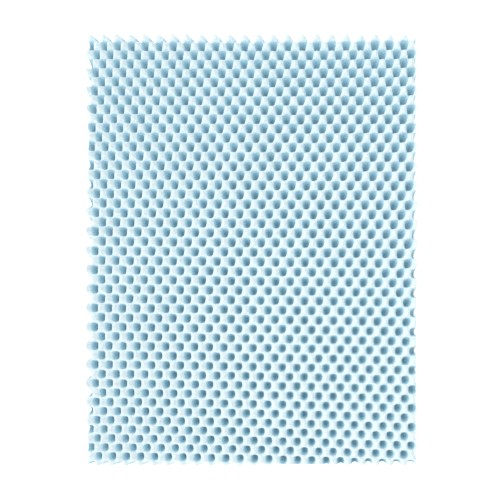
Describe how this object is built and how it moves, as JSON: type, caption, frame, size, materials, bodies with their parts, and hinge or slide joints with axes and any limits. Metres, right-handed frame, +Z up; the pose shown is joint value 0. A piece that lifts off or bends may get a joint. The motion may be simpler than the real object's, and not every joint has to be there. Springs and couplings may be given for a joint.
{
  "type": "mattress topper",
  "caption": "Flat rectangular mattress topper of convoluted foam, with staggered peaks and pits on top and a flat underside.",
  "frame": {"origin": "middle of the flat underside, which rests on the mattress", "axes": "+X across the bed to the right, +Y along the bed from foot to head, +Z up through the peaks"},
  "size_m": [1.524, 1.984, 0.076],
  "materials": {
    "foam": "pale blue open-cell foam, matte, with fine pores"
  },
  "bodies": {
    "root": {"topper": "foam"}
  },
  "joints": []
}
